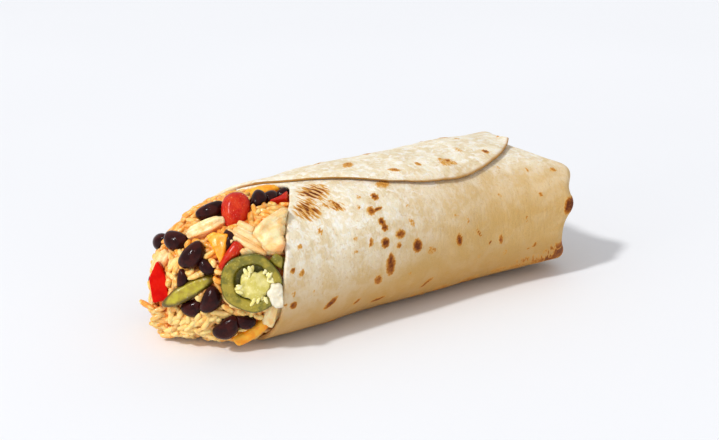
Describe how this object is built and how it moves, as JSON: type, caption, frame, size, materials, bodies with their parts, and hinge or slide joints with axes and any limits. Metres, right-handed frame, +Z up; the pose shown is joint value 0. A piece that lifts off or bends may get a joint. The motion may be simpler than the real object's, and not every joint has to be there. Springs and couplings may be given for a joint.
{
  "type": "burrito",
  "caption": "Rolled flour tortilla round a rice, bean, chicken, cheese, tomato and pepper filling, tucked shut at one end and open at the other, where the filling bulges out.",
  "frame": {"origin": "centre of the underside of the bounding box, on the surface the burrito lies on", "axes": "+X along the roll from the open end to the tucked end, +Y across it away from the loose edge of the sheet, +Z up"},
  "size_m": [0.2156, 0.0848, 0.0674],
  "materials": {
    "tortilla": "soft, dry, floury flour tortilla with toasted spots",
    "rice": "moist seasoned rice",
    "bean": "wet, glossy cooked black bean",
    "tomato": "wet tomato flesh",
    "pepper": "smooth raw red pepper",
    "cheddar": "softened orange cheese",
    "chicken": "cooked, seasoned chicken with torn fibres",
    "jalapeno": "pickled olive-green pepper, wet",
    "cheese": "soft white cheese"
  },
  "bodies": {
    "root": {"tortilla": "tortilla", "rice_filling": "rice", "jalapeno_1": "jalapeno", "jalapeno_2": "jalapeno", "jalapeno_3": "jalapeno", "chicken_1": "chicken", "chicken_2": "chicken", "chicken_3": "chicken", "chicken_4": "chicken", "chicken_5": "chicken", "chicken_6": "chicken", "tomato_1": "tomato", "tomato_2": "tomato", "tomato_3": "tomato", "tomato_4": "tomato", "red_pepper": "pepper", "cheddar_1": "cheddar", "cheddar_2": "cheddar", "cheddar_3": "cheddar", "cheddar_4": "cheddar", "white_cheese": "cheese", "bean_01": "bean", "bean_02": "bean", "bean_03": "bean", "bean_04": "bean", "bean_05": "bean", "bean_06": "bean", "bean_07": "bean", "bean_08": "bean", "bean_09": "bean", "bean_10": "bean", "bean_11": "bean", "bean_12": "bean", "bean_13": "bean", "bean_14": "bean", "bean_15": "bean", "bean_16": "bean"}
  },
  "joints": []
}
